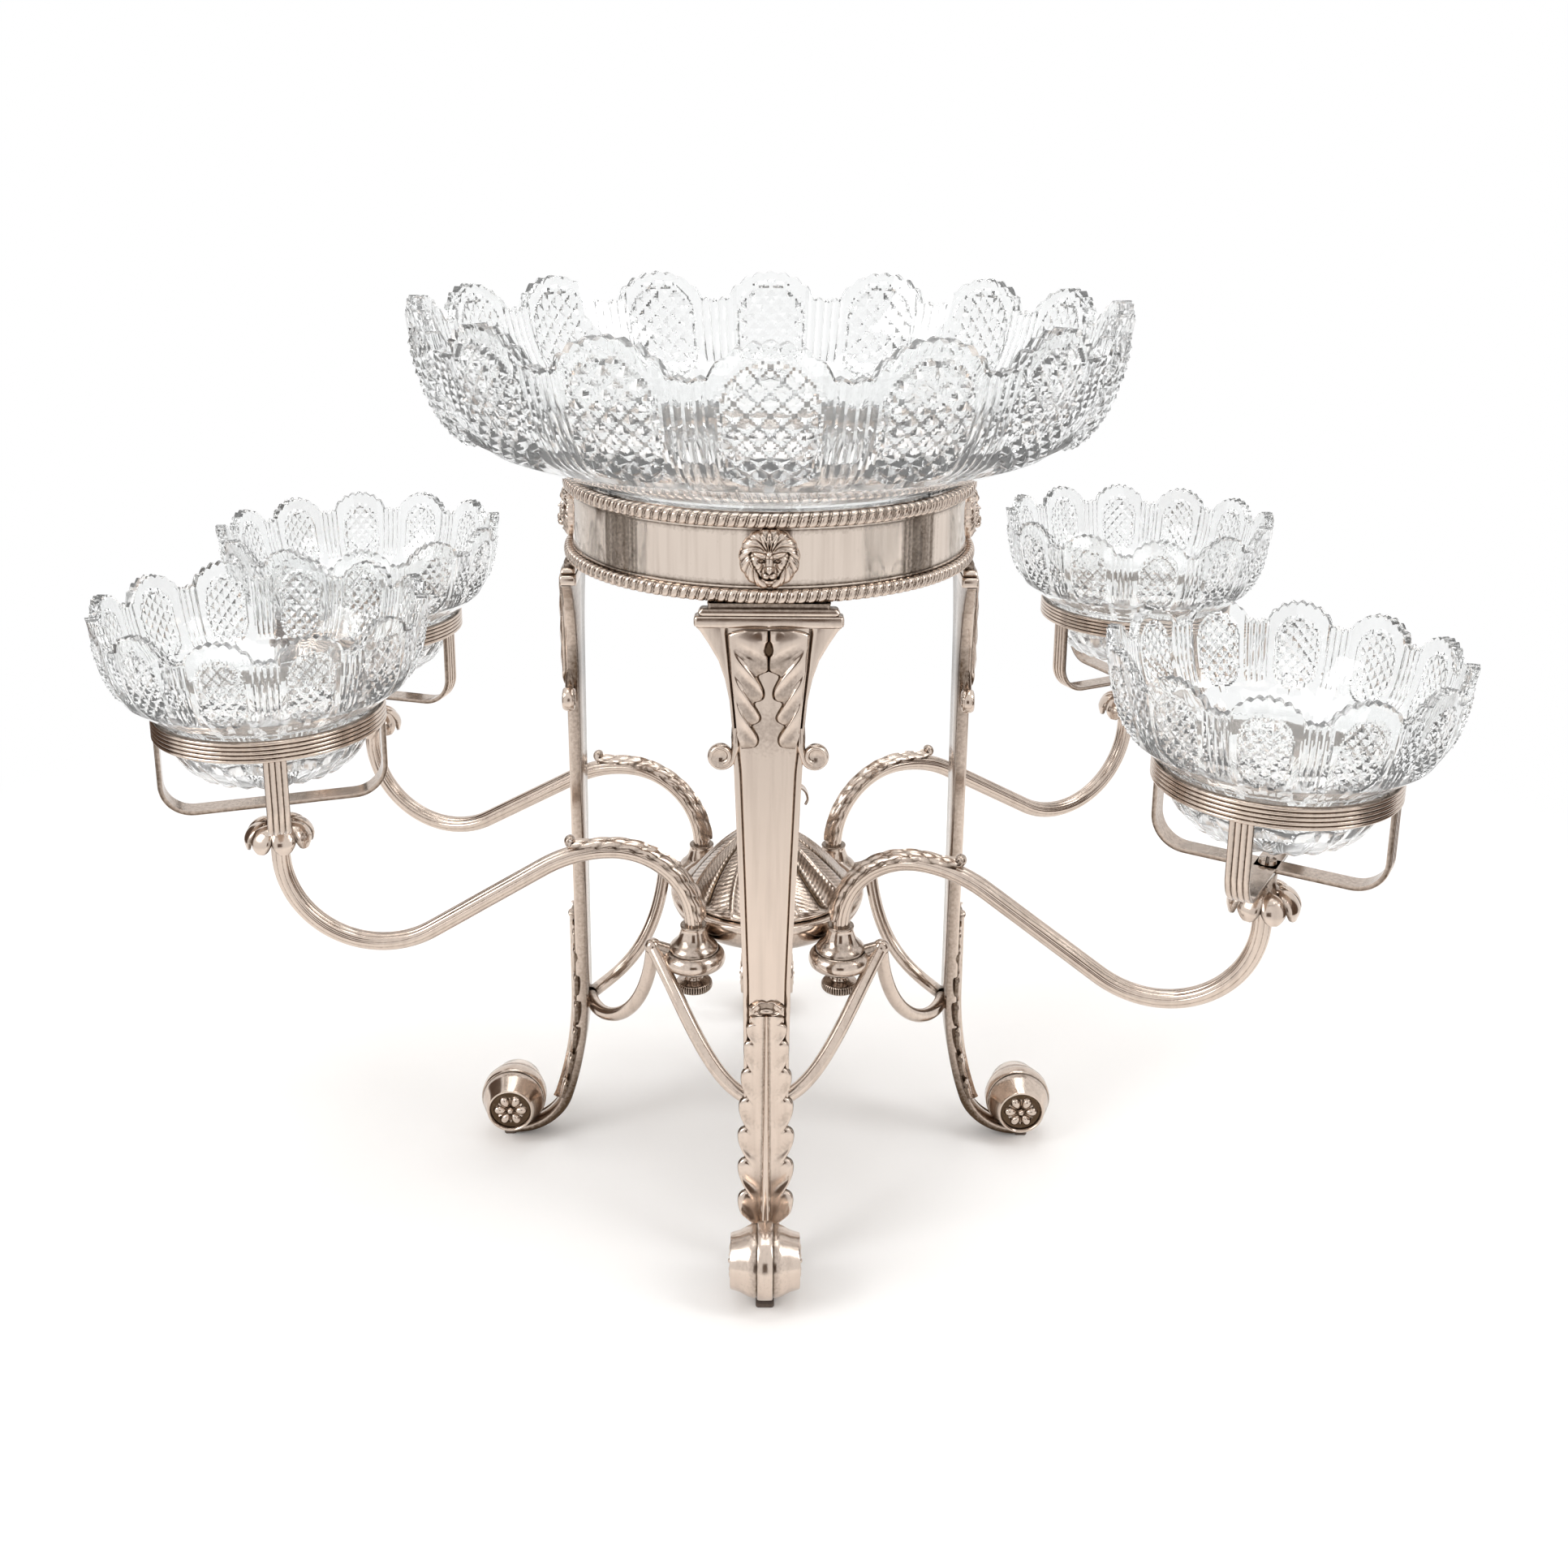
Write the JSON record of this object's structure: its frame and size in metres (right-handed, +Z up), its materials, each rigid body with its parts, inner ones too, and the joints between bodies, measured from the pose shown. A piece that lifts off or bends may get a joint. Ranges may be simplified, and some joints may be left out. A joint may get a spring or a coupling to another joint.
{
  "type": "epergne",
  "caption": "Silver table centrepiece: a lion-masked ring on scroll legs holds a large cut-glass bowl, and swivelling arms carry small cut-glass bowls.",
  "frame": {"origin": "centre of the footprint on the table, under the feet", "axes": "+Z up, -Y towards the picture, +X to the right of the picture"},
  "size_m": [0.453, 0.3082, 0.335],
  "materials": {
    "silver": "polished",
    "glass": "polished",
    "felt": "matte"
  },
  "bodies": {
    "stand": {"ring_band": "silver", "upper_border": "silver", "lower_border": "silver", "bowl_seat": "silver", "lion_masks": "silver", "leg_front": "silver", "leg_right": "silver", "leg_back": "silver", "leg_left": "silver", "leg_capitals": "silver", "capital_leaves": "silver", "leg_leaves": "silver", "foot_front": "silver", "foot_right": "silver", "foot_back": "silver", "foot_left": "silver", "foot_rosettes": "silver", "foot_pads": "felt", "bracket_fl": "silver", "bracket_fr": "silver", "bracket_br": "silver", "bracket_bl": "silver", "socket_fl": "silver", "socket_fr": "silver", "socket_br": "silver", "socket_bl": "silver", "hub_pan": "silver", "hub_dome": "silver", "hub_finial": "silver"},
    "centre_bowl": {"centre_bowl": "glass"},
    "arm_fl": {"arm_fl": "silver", "ferrule_fl": "silver", "calyx_fl": "silver", "holder_screw_fl": "silver"},
    "thumbscrew_fl": {"thumbscrew_fl": "silver"},
    "holder_fl": {"holder_fl": "silver"},
    "bowl_fl": {"bowl_fl": "glass"},
    "arm_fr": {"arm_fr": "silver", "ferrule_fr": "silver", "calyx_fr": "silver", "holder_screw_fr": "silver"},
    "thumbscrew_fr": {"thumbscrew_fr": "silver"},
    "holder_fr": {"holder_fr": "silver"},
    "bowl_fr": {"bowl_fr": "glass"},
    "arm_br": {"arm_br": "silver", "ferrule_br": "silver", "calyx_br": "silver", "holder_screw_br": "silver"},
    "thumbscrew_br": {"thumbscrew_br": "silver"},
    "holder_br": {"holder_br": "silver"},
    "bowl_br": {"bowl_br": "glass"},
    "arm_bl": {"arm_bl": "silver", "ferrule_bl": "silver", "calyx_bl": "silver", "holder_screw_bl": "silver"},
    "thumbscrew_bl": {"thumbscrew_bl": "silver"},
    "holder_bl": {"holder_bl": "silver"},
    "bowl_bl": {"bowl_bl": "glass"}
  },
  "joints": [
    {"name": "centre_bowl_lift", "type": "slide", "parent": "stand", "child": "centre_bowl", "axis": [0, 0, 1], "range_m": [0, 0.06]},
    {"name": "arm_swivel_fl", "type": "hinge", "parent": "stand", "child": "arm_fl", "pos_m": [-0.02174, -0.04181, 0.097], "axis": [0, 0, 1], "range_deg": [-1, 45]},
    {"name": "thumbscrew_turn_fl", "type": "hinge", "parent": "arm_fl", "child": "thumbscrew_fl", "pos_m": [-0.02174, -0.04181, 0.09], "axis": [0, 0, 1], "continuous": true},
    {"name": "holder_turn_fl", "type": "hinge", "parent": "arm_fl", "child": "holder_fl", "pos_m": [-0.16965, -0.04698, 0.16], "axis": [0, 0, 1], "continuous": true},
    {"name": "bowl_lift_fl", "type": "slide", "parent": "holder_fl", "child": "bowl_fl", "axis": [0, 0, 1], "range_m": [0, 0.05]},
    {"name": "arm_swivel_fr", "type": "hinge", "parent": "stand", "child": "arm_fr", "pos_m": [0.03243, -0.04181, 0.097], "axis": [0, 0, 1], "range_deg": [-30, 20]},
    {"name": "thumbscrew_turn_fr", "type": "hinge", "parent": "arm_fr", "child": "thumbscrew_fr", "pos_m": [0.03243, -0.04181, 0.09], "axis": [0, 0, 1], "continuous": true},
    {"name": "holder_turn_fr", "type": "hinge", "parent": "arm_fr", "child": "holder_fr", "pos_m": [0.16965, -0.09725, 0.16], "axis": [0, 0, 1], "continuous": true},
    {"name": "bowl_lift_fr", "type": "slide", "parent": "holder_fr", "child": "bowl_fr", "axis": [0, 0, 1], "range_m": [0, 0.05]},
    {"name": "arm_swivel_br", "type": "hinge", "parent": "stand", "child": "arm_br", "pos_m": [0.03243, 0.03006, 0.097], "axis": [0, 0, 1], "range_deg": [-20, 30]},
    {"name": "thumbscrew_turn_br", "type": "hinge", "parent": "arm_br", "child": "thumbscrew_br", "pos_m": [0.03243, 0.03006, 0.09], "axis": [0, 0, 1], "continuous": true},
    {"name": "holder_turn_br", "type": "hinge", "parent": "arm_br", "child": "holder_br", "pos_m": [0.16429, 0.09725, 0.16], "axis": [0, 0, 1], "continuous": true},
    {"name": "bowl_lift_br", "type": "slide", "parent": "holder_br", "child": "bowl_br", "axis": [0, 0, 1], "range_m": [0, 0.05]},
    {"name": "arm_swivel_bl", "type": "hinge", "parent": "stand", "child": "arm_bl", "pos_m": [-0.02174, 0.03006, 0.097], "axis": [0, 0, 1], "range_deg": [-40, 1]},
    {"name": "thumbscrew_turn_bl", "type": "hinge", "parent": "arm_bl", "child": "thumbscrew_bl", "pos_m": [-0.02174, 0.03006, 0.09], "axis": [0, 0, 1], "continuous": true},
    {"name": "holder_turn_bl", "type": "hinge", "parent": "arm_bl", "child": "holder_bl", "pos_m": [-0.16401, 0.07086, 0.16], "axis": [0, 0, 1], "continuous": true},
    {"name": "bowl_lift_bl", "type": "slide", "parent": "holder_bl", "child": "bowl_bl", "axis": [0, 0, 1], "range_m": [0, 0.05]}
  ]
}
